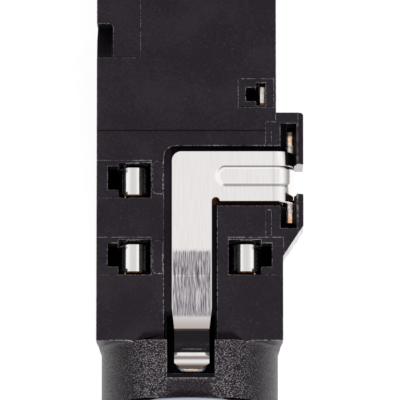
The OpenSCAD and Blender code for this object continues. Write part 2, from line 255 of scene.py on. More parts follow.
def bevelled(bm, geometry, offset, segments, affect="EDGES"):
    """Rounds edges or corners of a bmesh, and gives the new faces."""
    made = bmesh.ops.bevel(bm, geom=geometry, offset=offset, offset_type="OFFSET", segments=segments,
                           profile=0.5, affect=affect, clamp_overlap=False, material=-1)
    return made["faces"]


def cut(bm, axis, spots, inside=None):
    """Adds an edge at each spot along one axis, across all faces or those with their centre inside."""
    normal = Vector((axis == "x", axis == "y", axis == "z"))
    for spot in spots:
        faces = [face for face in bm.faces if inside is None or inside(face.calc_center_median())]
        edges = {edge for face in faces for edge in face.edges}
        verts = {vert for face in faces for vert in face.verts}
        bmesh.ops.bisect_plane(bm, geom=[*verts, *edges, *faces], dist=HAIR, plane_co=normal * spot,
                               plane_no=normal)


def new_verts(geometry):
    """The points among the geometry that a mesh operation gives back."""
    return [item for item in geometry if isinstance(item, bmesh.types.BMVert)]


def new_edges(geometry):
    """The edges among the geometry that a mesh operation gives back."""
    return [item for item in geometry if isinstance(item, bmesh.types.BMEdge)]


def rounded_path(corners, radii):
    """Points of a bent line: straight runs joined by arcs of the given radii."""
    points = [corners[0]]
    for before, corner, after, radius in zip(corners, corners[1:], corners[2:], radii):
        back = (before - corner).normalized()
        ahead = (after - corner).normalized()
        half = back.angle(ahead) / 2
        centre = corner + (back + ahead).normalized() * radius / math.sin(half)
        start = corner + back * radius / math.tan(half) - centre
        end = corner + ahead * radius / math.tan(half) - centre
        first = math.atan2(start.y, start.x)
        sweep = (math.atan2(end.y, end.x) - first + math.pi) % (2 * math.pi) - math.pi
        for step in range(ARC_STEPS + 1):
            angle = first + sweep * step / ARC_STEPS
            points.append(centre + radius * Vector((math.cos(angle), math.sin(angle))))
    points.append(corners[-1])
    return points


def level_on(path, spot):
    """Height of a path of (spot, height) points, read between its points."""
    for a, b in zip(path, path[1:]):
        low, high = sorted((a.x, b.x))
        if low <= spot <= high and high > low:
            return a.y + (b.y - a.y) * (spot - a.x) / (b.x - a.x)
    return path[0].y if abs(spot - path[0].x) < abs(spot - path[-1].x) else path[-1].y


def soft_step(value):
    """0 below 0, 1 above 1, and a smooth rise between."""
    share = min(1, max(0, value))
    return share * share * (3 - 2 * share)


# Node helpers


def fill(tree, node, inputs):
    """Puts values or links on a node's input sockets."""
    for name, value in inputs.items():
        if isinstance(value, bpy.types.NodeSocket):
            tree.links.new(value, node.inputs[name])
        else:
            node.inputs[name].default_value = value


def place(tree, kind, inputs=None, **settings):
    """Adds a node, with its settings and with values or links on its input sockets."""
    made = tree.nodes.new(kind)
    for name, value in settings.items():
        setattr(made, name, value)
    fill(tree, made, inputs or {})
    return made


def maths(tree, operation, a, b=0.0):
    """The result of one mathematical operation."""
    return place(tree, "ShaderNodeMath", {0: a, 1: b}, operation=operation).outputs[0]


def product(tree, value, *factors):
    """A value times all the factors."""
    for factor in factors:
        value = maths(tree, "MULTIPLY", value, factor)
    return value


def ramp(tree, value, low, high, to_low=0.0, to_high=1.0):
    """A smooth change from to_low to to_high while value goes from low to high."""
    inputs = {0: value, 1: low, 2: high, 3: to_low, 4: to_high}
    return place(tree, "ShaderNodeMapRange", inputs, interpolation_type="SMOOTHSTEP").outputs[0]


def near(tree, value, middle, inner, outer):
    """1 within inner of a middle value, and 0 beyond outer."""
    distance = maths(tree, "ABSOLUTE", maths(tree, "SUBTRACT", value, middle))
    return ramp(tree, distance, inner, outer, 1.0, 0.0)


def colour_mix(tree, factor, a, b):
    """Colour a where the factor is 0, and colour b where it is 1."""
    return place(tree, "ShaderNodeMix", {0: factor, 6: a, 7: b}, data_type="RGBA").outputs[2]


def object_place(tree, scale=(1, 1, 1)):
    """Object coordinates, stretched by a scale on each axis."""
    coordinates = place(tree, "ShaderNodeTexCoord").outputs["Object"]
    return place(tree, "ShaderNodeMapping", {"Vector": coordinates, "Scale": scale}).outputs[0]


def axes_mm(tree):
    """The x, y and z of a point of the part, in millimetres."""
    return place(tree, "ShaderNodeSeparateXYZ", {0: object_place(tree, (1 / MM, 1 / MM, 1 / MM))}).outputs


def noise(tree, where, scale, detail, roughness=0.5):
    """Noise at a place: finer at a high scale, with more fine parts at a high detail."""
    inputs = {"Vector": where, "Scale": scale, "Detail": detail, "Roughness": roughness}
    return place(tree, "ShaderNodeTexNoise", inputs).outputs[0]


def group(tree, shared, **inputs):
    """The outputs of a shared effect."""
    return place(tree, "ShaderNodeGroup", inputs, node_tree=shared).outputs


def relief(tree, shader, height, depth):
    """Bumps a surface by a height pattern of the given depth."""
    bump = place(tree, "ShaderNodeBump", {"Strength": 1.0, "Distance": depth, "Height": height})
    fill(tree, shader, {"Normal": bump.outputs[0]})


def material(name):
    """A new material, with its node tree and its shader."""
    made = bpy.data.materials.new(name)
    made.use_nodes = True
    return made, made.node_tree, made.node_tree.nodes["Principled BSDF"]


def rgb(red, green, blue):
    """An opaque colour."""
    return (red, green, blue, 1)


# Shared effects


def effect(name, inputs, outputs):
    """An empty shader node group: numbers become value sockets, and None becomes a vector socket."""
    tree = bpy.data.node_groups.new(name, "ShaderNodeTree")
    for label, value in inputs.items():
        kind = "NodeSocketVector" if value is None else "NodeSocketFloat"
        socket = tree.interface.new_socket(label, in_out="INPUT", socket_type=kind)
        if value is not None:
            socket.default_value = value
    for label in outputs:
        tree.interface.new_socket(label, in_out="OUTPUT", socket_type="NodeSocketFloat")
    return tree, place(tree, "NodeGroupInput").outputs, place(tree, "NodeGroupOutput")


def moulded_grain_effect():
    """Grain of a moulded surface: a height, dots of random strength, broken edge lines and slow clouding."""
    outputs = ("Height", "Specks", "Breaks", "Cloud")
    tree, given, result = effect("moulded_grain", {"Size": 0.1 * MM}, outputs)
    where = object_place(tree)
    scale = maths(tree, "DIVIDE", 1.0, given["Size"])
    pits = noise(tree, where, scale, 3.0, 0.6)
    cells = place(tree, "ShaderNodeTexVoronoi", {"Vector": where, "Scale": scale}, feature="F1").outputs
    chance = place(tree, "ShaderNodeSeparateColor", {0: cells["Color"]}).outputs[0]
    fill(tree, result, {
        "Height": maths(tree, "SUBTRACT", pits, product(tree, cells["Distance"], 0.6)),
        "Specks": product(tree, chance, ramp(tree, cells["Distance"], 0.3, 0.75, 1.0, 0.0)),
        "Breaks": noise(tree, where, 6.0 / MM, 2.0),
        "Cloud": noise(tree, where, 0.4 / MM, 4.0),
    })
    return tree


def drawn_lines_effect():
    """Fine parallel lines of rolled or turned metal, read along a stretched place."""
    tree, given, result = effect("drawn_lines", {"Place": None, "Fineness": 1.0}, ("Lines", "Cloud"))
    fill(tree, result, {
        "Lines": noise(tree, given["Place"], given["Fineness"], 4.0, 0.65),
        "Cloud": noise(tree, object_place(tree), 0.5 / MM, 3.0),
    })
    return tree


moulded_grain = moulded_grain_effect()
drawn_lines = drawn_lines_effect()


# Materials of the moulding

SMOOTH_DEEP = rgb(0.018, 0.0138, 0.019)
SMOOTH_PALE = rgb(0.0265, 0.021, 0.0275)
SMOOTH_SPECK = rgb(0.037, 0.032, 0.037)
# Painted shade for the recess floor and for the line along the step
PAINTED_SHADE = rgb(0.002, 0.0018, 0.002)
# Painted glow: the bronze edge's brown reflection on the recess floor
PAINTED_BRONZE_GLOW = rgb(0.06, 0.018, 0.011)
DRAWN_DEEP = rgb(0.004, 0.0034, 0.0042)
DRAWN_PALE = rgb(0.007, 0.006, 0.0074)
NOSE_DEEP = rgb(0.0155, 0.0122, 0.0155)
# Painted glints of the nose's grain
NOSE_PAINTED_GLINT = rgb(0.255, 0.232, 0.247)
# Pale edge lines: partly wear, partly painted highlight where light catches the edges
EDGE_WEAR_AND_HIGHLIGHT = rgb(0.26, 0.247, 0.255)
NOSE_EDGE_WEAR_AND_HIGHLIGHT = rgb(0.36, 0.34, 0.35)
SMOOTH_GRAIN = 0.14 * MM
DRAWN_GRAIN = 0.2 * MM
NOSE_GRAIN = 0.07 * MM

# Where a finish, a painted shade, a painted glow or the painted glints of the moulding fade in or out, in
# millimetres along one axis
RECESS_TOP_Z = (9.8, 10.0)
ARM_GAP_X = (1.1, 1.4)
CROSS_GAP_X = (1.4, 1.6)
SLOT_REAR_Y = (1.9, 2.2)
INNER_EAR_X = (4.8, 4.95)
OUTER_EAR_X = (5.5, 5.8)
RUB_PATCH_X = (1.1, 1.7)
RUB_PATCH_Y = (-2.75, -2.5)
NOSE_TOP_X = (2.9, 4.6)
NOSE_SIDE_X = (3.4, 5.6)


def grain_gloss(tree, grain, low, high):
    """Roughness between two values: low on the grain's heights, high in its pits."""
    return ramp(tree, grain["Height"], 0.0, 0.6, high, low)


def finish_moulding(tree, shader, grain, ground, roughness, depth, wear_and_highlight=EDGE_WEAR_AND_HIGHLIGHT):
    """Paler broken lines on the rounded edges, partly wear and partly painted highlight, the gloss, and the
    grain's relief.
    """
    edge = place(tree, "ShaderNodeAttribute", attribute_name=EDGE_LAYER).outputs["Fac"]
    stretches = ramp(tree, grain["Cloud"], 0.4, 0.58, 0.3, 1.0)
    dots = ramp(tree, grain["Breaks"], 0.36, 0.62)
    broken = product(tree, edge, stretches, dots)
    fill(tree, shader, {"Base Color": colour_mix(tree, broken, ground, wear_and_highlight), "Roughness": roughness})
    relief(tree, shader, grain["Height"], depth)


def smooth_moulding():
    """Matt black plastic of the upper faces: clouded, with a few pale specks, painted shade in the recess and
    along the step, and a painted brown glow in front of the cross leg.
    """
    made, tree, shader = material("smooth_black")
    grain = group(tree, moulded_grain, Size=SMOOTH_GRAIN)
    x, y, z = axes_mm(tree)
    shade = maths(tree, "ADD", grain["Cloud"], product(tree, grain["Specks"], 0.3))
    ground = colour_mix(tree, ramp(tree, shade, 0.4, 0.85), SMOOTH_DEEP, SMOOTH_PALE)
    specked = colour_mix(tree, ramp(tree, grain["Specks"], 0.968, 0.985), ground, SMOOTH_SPECK)
    # Painted shade: the recess floor beside the arm and by the slot is darkened, and a dark shadow line is
    # painted along the step
    sunk = ramp(tree, z, *RECESS_TOP_Z, 1.0, 0.0)
    beside_arm = ramp(tree, x, *ARM_GAP_X, 0.33, 0.85)
    by_slot = ramp(tree, y, *SLOT_REAR_Y, 0.9, 0.0)
    painted_recess_shade = product(tree, sunk, maths(tree, "MAXIMUM", beside_arm, by_slot))
    beside_ear = ramp(tree, x, *INNER_EAR_X, 0.75, 0.0)
    painted_step_shadow = product(tree, near(tree, y, STEP_Y / MM, 0.02, 0.06), beside_ear)
    shaded = colour_mix(tree, maths(tree, "MAXIMUM", painted_recess_shade, painted_step_shadow), specked, PAINTED_SHADE)
    # Painted glow: a brown reflection of the bronze cut edge, painted on the recess floor in front of the
    # cross leg
    by_bronze = near(tree, y, cross_front / MM + 0.1, 0.15, 0.3)
    bronze_glow_mask = product(tree, sunk, by_bronze, ramp(tree, x, *CROSS_GAP_X))
    with_bronze_glow = colour_mix(tree, bronze_glow_mask, shaded, PAINTED_BRONZE_GLOW)
    finish_moulding(tree, shader, grain, with_bronze_glow, grain_gloss(tree, grain, 0.42, 0.58), 0.002 * MM)
    fill(tree, shader, {"Specular IOR Level": 0.05})
    return made


def drawn_moulding():
    """Glossy black of the upright walls, polished as the moulding was drawn from its tool."""
    made, tree, shader = material("drawn_black")
    grain = group(tree, moulded_grain, Size=DRAWN_GRAIN)
    upright = object_place(tree, (1 / MM, 1 / MM, 0.04 / MM))
    lines = group(tree, drawn_lines, Place=upright, Fineness=4.0)
    ground = colour_mix(tree, ramp(tree, grain["Cloud"], 0.35, 0.65), DRAWN_DEEP, DRAWN_PALE)
    mottled = maths(tree, "ADD", lines["Lines"], product(tree, grain["Cloud"], 0.6))
    finish_moulding(tree, shader, grain, ground, ramp(tree, mottled, 0.6, 1.0, 0.1, 0.34), 0.001 * MM)
    ear_gloss = ramp(tree, axes_mm(tree)["X"], *OUTER_EAR_X, 0.0, 0.75)
    fill(tree, shader, {"Coat Weight": ear_gloss, "Coat Roughness": 0.15, "Specular IOR Level": 0.45})
    return made


def grained_moulding():
    """Spark-eroded grain of the nose with painted glints, brighter on the top, fewer on a rubbed patch in
    front of the slot.
    """
    made, tree, shader = material("grained_black")
    grain = group(tree, moulded_grain, Size=NOSE_GRAIN)
    x, y, _ = axes_mm(tree)
    aside = maths(tree, "ABSOLUTE", x)
    rubbed = product(tree, ramp(tree, aside, *RUB_PATCH_X, 1.0, 0.0), ramp(tree, y, *RUB_PATCH_Y, 1.0, 0.0))
    # Painted glints: brightest on the top of the nose, where the light falls, and fainter down its sides
    on_top = ramp(tree, aside, *NOSE_TOP_X, 1.0, 0.32)
    unrubbed = maths(tree, "SUBTRACT", 1.0, product(tree, rubbed, 0.8))
    painted_glints = product(tree, ramp(tree, grain["Specks"], 0.1, 1.0), on_top, unrubbed)
    ground = colour_mix(tree, painted_glints, NOSE_DEEP, NOSE_PAINTED_GLINT)
    finish_moulding(tree, shader, grain, ground, grain_gloss(tree, grain, 0.3, 0.5), 0.02 * MM, NOSE_EDGE_WEAR_AND_HIGHLIGHT)
    side_gloss = ramp(tree, aside, *NOSE_SIDE_X, 0.0, 0.85)
    flecked = product(tree, side_gloss, ramp(tree, grain["Specks"], 0.0, 0.7, 0.55, 1.0))
    fill(tree, shader, {"Coat Weight": flecked, "Coat Roughness": 0.4, "Specular IOR Level": 0.1})
    return made


# Materials of the metal parts

SILVER_DEEP = rgb(0.9, 0.872, 0.86)
SILVER_PALE = rgb(0.955, 0.928, 0.915)
# Painted shade of the plating on the arm's slope, before the bend and on the arch crowns
PAINTED_SILVER_SHADE = rgb(0.42, 0.4, 0.4)
RUB_DARK = rgb(0.1, 0.092, 0.105)
RUB_PALE = rgb(0.78, 0.74, 0.78)
# Painted shade before and in the dip
SHADED_SLOPE_TINT = rgb(0.56, 0.5, 0.485)
SHADED_DIP_TINT = rgb(0.6, 0.56, 0.65)
# Painted shade band on the lip
PAINTED_LIP_SHADE = rgb(0.32, 0.275, 0.265)
FOLD_BROWN = rgb(0.09, 0.05, 0.03)
TIP_BROWN = rgb(0.12, 0.065, 0.035)
NICKEL_DEEP = rgb(0.42, 0.45, 0.54)
NICKEL_PALE = rgb(0.56, 0.59, 0.69)

# Where the strip's finish and its painted shade change, in millimetres along one axis: a fade, or the middle
# of a mark
STRIP_TOP_Z = (9.6, 9.7)
RUB_FRONT_Y = (1.5, 1.72)
RUB_REAR_Y = (5.76, 5.96)
RUB_LEFT_X = (-1.12, -1.07)
RUB_RIGHT_X = (1.33, 1.38)
SLOPE_SHADE_END_Y = (5.85, 6.2)
DIP_SHADE_END_Y = (0.9, 1.9)
DIP_REAR_Y = (0.7, 0.8)
LIP_REAR_Y = (-0.62, -0.5)
TIP_WEAR_Y = (-1.52, -1.2)
CREASE_Y = 4.28
FOLD_Y = 0.78
LIP_SHADE_Y = -0.92
SCORE_Y = -0.38
SCORE_X = 0.25
BEND_SHADE_X = 5.44
CROWN_X = 3.66


def rubbed_stretch(tree, x, y, on_top, rub_lines):
    """1 on the rubbed stretch of the arm, whose ends are ragged along the rub lines."""
    ragged = product(tree, maths(tree, "SUBTRACT", rub_lines, 0.5), 0.6)
    along = maths(tree, "ADD", y, ragged)
    begun = ramp(tree, along, *RUB_FRONT_Y)
    ended = ramp(tree, along, *RUB_REAR_Y, 1.0, 0.0)
    right = ramp(tree, x, *RUB_RIGHT_X, 1.0, 0.0)
    return product(tree, begun, ended, ramp(tree, x, *RUB_LEFT_X), right, on_top)


def plated_colour(tree, x, y, z, on_top, bright):
    """Colour of the plating: painted shade on the arm's slope, before the bend, on the arch crowns, in the
    dip and on the lip, a brown fold line, and worn at the tip.
    """
    # Painted shade: the arm's sloping front, a band before the bend and the arch crowns are greyed, where
    # their reflections darken
    painted_slope_shade = product(tree, ramp(tree, y, *SLOPE_SHADE_END_Y, 0.2, 0.0), on_top)
    bent = product(tree, near(tree, x, BEND_SHADE_X, 0.02, 0.13), 0.22)
    on_arch = ramp(tree, z, *STRIP_TOP_Z, 0.3, 0.0)
    painted_crown_shade = product(tree, near(tree, maths(tree, "ABSOLUTE", x), CROWN_X, 0.08, 0.3), on_arch)
    painted_strip_shades = maths(tree, "MAXIMUM", painted_crown_shade, maths(tree, "MAXIMUM", painted_slope_shade, bent))
    clouded = colour_mix(tree, painted_strip_shades, bright, PAINTED_SILVER_SHADE)
    # Painted shade: the plating before and in the dip is darkened and tinted, where it reflects the darker
    # front
    painted_dip_shade = product(tree, ramp(tree, y, *DIP_SHADE_END_Y, 1.0, 0.0), ramp(tree, y, *LIP_REAR_Y))
    dip_shade_colour = colour_mix(tree, ramp(tree, y, *DIP_REAR_Y, 1.0, 0.0), SHADED_SLOPE_TINT, SHADED_DIP_TINT)
    dipped = colour_mix(tree, painted_dip_shade, clouded, dip_shade_colour)
    # Painted shade: a grey-brown band across the curved lip, where its reflection darkens
    lipped = colour_mix(tree, near(tree, y, LIP_SHADE_Y, 0.03, 0.22), dipped, PAINTED_LIP_SHADE)
    folded = colour_mix(tree, near(tree, y, FOLD_Y, 0.03, 0.1), lipped, FOLD_BROWN)
    return colour_mix(tree, ramp(tree, y, *TIP_WEAR_Y, 0.95, 0.0), folded, TIP_BROWN)


def plated_strip():
    """Silver-plated strip: rolling lines along its length, a rubbed stretch and a scored dip."""
    made, tree, shader = material("plated_strip")
    x, y, z = axes_mm(tree)
    on_top = ramp(tree, z, *STRIP_TOP_Z)
    lines = group(tree, drawn_lines, Place=object_place(tree, (1 / MM, 0.06 / MM, 1 / MM)), Fineness=9.0)
    rub_lines = noise(tree, object_place(tree, (1 / MM, 0.027 / MM, 0)), 21.0, 2.0, 0.9)
    rubbed = rubbed_stretch(tree, x, y, on_top, rub_lines)
    rolled = ramp(tree, lines["Lines"], 0.3, 0.7)
    bright = colour_mix(tree, rolled, SILVER_DEEP, SILVER_PALE)
    streaks = ramp(tree, rub_lines, 0.39, 0.63)
    rubbed_colour = colour_mix(tree, streaks, RUB_DARK, RUB_PALE)
    crease = near(tree, y, CREASE_Y, 0.02, 0.07)
    dashes = product(tree, crease, ramp(tree, rub_lines, 0.49, 0.56), on_top)
    creased = colour_mix(tree, dashes, rubbed_colour, bright)
    colour = colour_mix(tree, rubbed, plated_colour(tree, x, y, z, on_top, bright), creased)
    score = product(tree, near(tree, y, SCORE_Y, 0.02, 0.05), near(tree, x, SCORE_X, 0.6, 0.85),
                    ramp(tree, rub_lines, 0.44, 0.56, 0.1, 1.0))
    calm = ramp(tree, lines["Cloud"], 0.3, 0.7, 0.09, 0.15)
    dull = maths(tree, "ADD", product(tree, rubbed, 0.14), product(tree, score, 0.6))
    fill(tree, shader, {"Base Color": colour, "Metallic": 1.0, "Roughness": maths(tree, "ADD", calm, dull)})
    height = maths(tree, "ADD", product(tree, rolled, 0.12), product(tree, rubbed, streaks))
    relief(tree, shader, height, 0.003 * MM)
    return made


def bronze_edge(name, dark, pale, metallic=0.35, dull=0.4, depth=0.006 * MM):
    """Cut edge of a bronze strip, sheared and lightly browned or tinned."""
    made, tree, shader = material(name)
    lines = group(tree, drawn_lines, Place=object_place(tree, (1 / MM, 1 / MM, 0.1 / MM)), Fineness=6.0)
    sheared = ramp(tree, lines["Lines"], 0.35, 0.65)
    roughness = ramp(tree, lines["Cloud"], 0.3, 0.7, dull, dull + 0.15)
    colour = colour_mix(tree, sheared, dark, pale)
    fill(tree, shader, {"Base Color": colour, "Metallic": metallic, "Roughness": roughness})
    relief(tree, shader, sheared, depth)
    return made


def nickel_plate():
    """Bright nickel on turned brass, with faint turning lines round the axis."""
    made, tree, shader = material("nickel_plate")
    around = object_place(tree, (0.02 / MM, 1 / MM, 0.02 / MM))
    lines = group(tree, drawn_lines, Place=around, Fineness=14.0)
    turned = ramp(tree, lines["Lines"], 0.3, 0.7)
    roughness = ramp(tree, lines["Cloud"], 0.3, 0.7, 0.14, 0.24)
    colour = colour_mix(tree, turned, NICKEL_DEEP, NICKEL_PALE)
    fill(tree, shader, {"Base Color": colour, "Metallic": 1.0, "Roughness": roughness})
    relief(tree, shader, turned, 0.002 * MM)
    return made


MOULDING_FINISHES = (smooth_moulding(), drawn_moulding(), grained_moulding())
SMOOTH, DRAWN, GRAINED = range(3)

# Each finish of a strip's faces is followed by the finish of its cut edges
silver = plated_strip()
bronze = bronze_edge("bronze_edge", rgb(0.2, 0.045, 0.012), rgb(0.52, 0.2, 0.075))
tinned_edge = bronze_edge("tinned_edge", rgb(0.6, 0.5, 0.44), rgb(0.95, 0.91, 0.88), 1.0, 0.2, 0.003 * MM)
copper_edge = bronze_edge("copper_edge", rgb(0.9, 0.48, 0.3), rgb(1.0, 0.88, 0.68), 1.0, 0.04, 0.001 * MM)
pale_edge = bronze_edge("pale_edge", rgb(0.7, 0.66, 0.62), rgb(0.95, 0.92, 0.9), 0.1)
STRIP_FINISHES = (silver, bronze, silver, tinned_edge, silver, copper_edge, silver, pale_edge)
PLATED = 0
BARE = 1
TINNED = 2
COPPERY = 4
PALE = 6


# Housing


def wear_and_highlight_at(centre):
    """How pale a rounded edge is, partly wear and partly painted highlight: 0 as moulded and in shade, 1
    rubbed pale and lit.
    """
    at_step = abs(centre.y - STEP_Y) < EDGE_BAND
    on_nose_side = centre.y < -EDGE_BAND and abs(centre.x) > NOSE_FLAT_X
    by_arm = abs(centre.x) < ARM_RECESS_X
    in_recess = by_arm and centre.z < RECESS_Z + RECESS_BAND
    if at_step or on_nose_side or in_recess:
        return 0
    # Lit edges at the front and by the arm's recess get the full painted highlight
    at_recess = by_arm and centre.y < ARM_RECESS_Y
    at_front = abs(centre.y) < EDGE_BAND and centre.z > axis_z
    return 1 if at_recess or at_front else COMMON_WEAR_AND_HIGHLIGHT


def moulding_finish(face):
    """Grained on the nose, drawn on upright and lower faces, and smooth on upper ones."""
    centre = face.calc_center_median()
    out = math.hypot(centre.x, centre.z - axis_z)
    if centre.y < 0 and (out > NOSE_GRAIN_RADIUS or face.normal.z > SQUARE_ON):
        return GRAINED
    behind_plate = face.normal.x < -SQUARE_ON and centre.x > plate_high.x
    return DRAWN if face.normal.z < UPWARD and not behind_plate else SMOOTH


def in_notch(edge):
    """Whether an edge is an upright inner corner of the notch at the rear left."""
    first, second = edge.verts
    placed = all(vert.co.x < NOTCH_X and vert.co.y > NOTCH_Y for vert in edge.verts)
    upright = abs(first.co.z - second.co.z) > NOTCH_HEIGHT
    return placed and upright and edge.calc_face_angle_signed() < INNER_FOLD


def moulded_housing():
    """The moulding, with every outer edge slightly rounded and a grained finish on the nose."""
    bm = copy_of("housing")
    notch = [edge for edge in bm.edges if edge.is_manifold and in_notch(edge)]
    bevelled(bm, notch, INNER_CORNER, INNER_STEPS)
    outer_edges = [edge for edge in bm.edges
                   if edge.is_manifold and edge.calc_face_angle_signed() > ROUNDED_FROM]
    wear_and_highlight = bm.faces.layers.float.new(EDGE_LAYER)
    for face in bevelled(bm, outer_edges, EDGE_ROUND, EDGE_STEPS):
        face[wear_and_highlight] = wear_and_highlight_at(face.calc_center_median())
    bmesh.ops.dissolve_degenerate(bm, dist=HAIR, edges=bm.edges)
    for vert in bm.verts:
        vert.co.y = min(vert.co.y, housing_high.y)
    bm.normal_update()
    for face in bm.faces:
        face.material_index = moulding_finish(face)
    housing = piece("moulded_housing", bm, MOULDING_FINISHES, ("housing",))
    housing.data.set_sharp_from_angle(angle=SHARP_FROM)
    face_weighted(housing)
    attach(housing, "socket")


moulded_housing()


# Bush


def bush_profile(outer, thread_rear, thread_front):
    """Half section as (radius, y) points: spigot, rounded collar, rings of the thread, bevel and mouth."""
    rear = bush_high.y - BUSH_SPIGOT_LENGTH
    front = bush_low.y
    rings = math.ceil((thread_rear - thread_front) / THREAD_PITCH * THREAD_STEPS)
    profile = [(BUSH_BORE, bush_high.y), (BUSH_SPIGOT, bush_high.y), (BUSH_SPIGOT, rear)]
    for step in range(COLLAR_STEPS + 1):
        angle = math.pi / 2 * step / COLLAR_STEPS
        radius = outer - COLLAR_ROUND * (1 - math.sin(angle))
        profile.append((radius, rear - COLLAR_ROUND * (1 - math.cos(angle))))
    for ring in range(rings + 1):
        profile.append((outer, thread_rear + (thread_front - thread_rear) * ring / rings))
    profile += [(outer - BUSH_BEVEL, front), (BUSH_BORE + BUSH_MOUTH, front), (BUSH_BORE, front + BUSH_MOUTH)]
    return profile


def threaded_bush():
    """Turned bush: one profile spun round the plug axis, then a helical thread pressed into its outside."""
    bm = bmesh.new()
    outer = (bush_high.z - bush_low.z) / 2
    thread_rear = bush_high.y - BUSH_SPIGOT_LENGTH - COLLAR_LENGTH
    thread_front = bush_low.y + BUSH_BEVEL
    profile = bush_profile(outer, thread_rear, thread_front)
    line = [bm.verts.new((radius, y, axis_z)) for radius, y in profile]
    edges = [bm.edges.new(pair) for pair in zip(line, line[1:] + line[:1])]
    bmesh.ops.spin(bm, geom=line + edges, cent=(0, 0, axis_z), axis=(0, 1, 0), angle=2 * math.pi,
                   steps=TURN_STEPS, use_merge=True, use_duplicate=False)
    for vert in bm.verts:
        radius = math.hypot(vert.co.x, vert.co.z - axis_z)
        to_end = min(thread_rear - vert.co.y, vert.co.y - thread_front)
        if to_end > 0 and radius > outer - CLOSE:
            turn = math.atan2(vert.co.z - axis_z, vert.co.x) / (2 * math.pi)
            phase = (vert.co.y / THREAD_PITCH + turn) % 1
            groove = min(1, max(0, FLANK_SLOPE * abs(2 * phase - 1) - CREST_SHARE))
            share = 1 - THREAD_DEPTH * groove * min(1, to_end / THREAD_RUN_OUT) / outer
            vert.co.x *= share
            vert.co.z = axis_z + (vert.co.z - axis_z) * share
    bmesh.ops.recalc_face_normals(bm, faces=bm.faces)
    bush = piece("threaded_bush", bm, (nickel_plate(),), ("bush",))
    bush.data.set_sharp_from_angle(angle=BUSH_SHARP_FROM)
    face_weighted(bush)
    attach(bush, "socket")


threaded_bush()


# Sleeve contact


def sleeve_plan(bm, arm_z, plate_x):
    """Flat outline of the strip seen from above, from the upturned tip to the bend at the side."""
    left = arm_low.x
    right = left + ARM_WIDTH
    middle = (left + right) / 2
    tip_left = middle - ARM_TIP_WIDTH / 2
    tip_right = middle + ARM_TIP_WIDTH / 2
    taper_y = DIP_Y + TAPER_LENGTH
    lip_y = LIP.x + LIP_CUT.y
    outline = [(left, cross_rear), (left, taper_y), (tip_left, DIP_Y), (tip_left, lip_y),
               (tip_left + LIP_CUT.x, LIP.x), (tip_right - LIP_CUT.x, LIP.x), (tip_right, lip_y),
               (tip_right, DIP_Y), (right, taper_y)]
    for step in range(ARC_STEPS + 1):
        angle = math.pi * (1 - step / ARC_STEPS)
        notch_x = right + NOTCH_RADIUS * (1 + math.cos(angle))
        outline.append((notch_x, cross_front + NOTCH_RADIUS * math.sin(angle)))
    outline += [(plate_x, cross_front), (plate_x, cross_rear)]
    verts = [bm.verts.new((x, y, arm_z)) for x, y in outline]
    bm.faces.new(verts)
    bevelled(bm, [verts[0]], CORNER_RADIUS, CORNER_STEPS, "VERTICES")


def sleeve_plate(bm, plate_x, top):
    """Flat outline of the upright plate: shoulders, tail and solder pin."""
    shoulder = plate_high.z
    half_outline = [(TAIL_WIDTH / 2, TAIL_TOP), (TAIL_WIDTH / 2, TAIL_END), (PIN_WIDTH / 2, TAIL_END),
                    (PIN_WIDTH / 2, pin_end)]
    outline = [(cross_front, top), (cross_front, shoulder), (plate_low.y, shoulder), (plate_low.y, TAIL_TOP)]
    outline += [(TAIL_Y - out, z) for out, z in half_outline]
    outline += [(TAIL_Y + out, z) for out, z in reversed(half_outline)]
    outline += [(plate_high.y, TAIL_TOP), (plate_high.y, shoulder), (cross_rear, shoulder), (cross_rear, top)]
    bm.faces.new([bm.verts.new((plate_x, y, z)) for y, z in outline])


def cut_sleeve(bm, profile, bend_x):
    """Adds the edges that the strip's bends, its bead and its changes of finish need."""
    bead_reach = BEAD_WIDTH / 2 + BEAD_REAR_EDGE / 2
    bead_lines = [cross_middle + bead_reach * (step / BEAD_LINES - 1) for step in range(2 * BEAD_LINES + 1)]
    bead_left = BEAD_START - BEAD_LEAD
    cut(bm, "y", [point.x for point in profile[1:-1]])
    cut(bm, "x", [bend_x + BEND_RADIUS * math.sin(math.pi / 2 * step / BEND_STEPS)
                  for step in range(BEND_STEPS)])
    cut(bm, "x", (bead_left,))
    cut(bm, "y", bead_lines, lambda centre: centre.x > bead_left)
    cut(bm, "x", [bead_left + BEAD_END_STEP * step for step in range(1, BEAD_END_STEPS + 1)],
        lambda centre: centre.x > bead_left and abs(centre.y - cross_middle) < bead_reach)
    cut(bm, "y", (cross_front, cross_rear, cross_front - TINNED_SHOULDER, cross_rear + TINNED_SHOULDER))


def sleeve_finish(centre, bend_x):
    """Finish of the strip: tinned edges at arm and shoulders, coppery plate ends, pale edges at the bend."""
    if centre.x < bend_x:
        return TINNED if LIP.x + LIP_CUT.y < centre.y < SLOPE_Y else PLATED
    if cross_front < centre.y < cross_rear:
        return PALE if centre.x > bend_x + PALE_BEND else PLATED
    on_shoulder = cross_front - TINNED_SHOULDER < centre.y < cross_rear + TINNED_SHOULDER
    return TINNED if on_shoulder else COPPERY


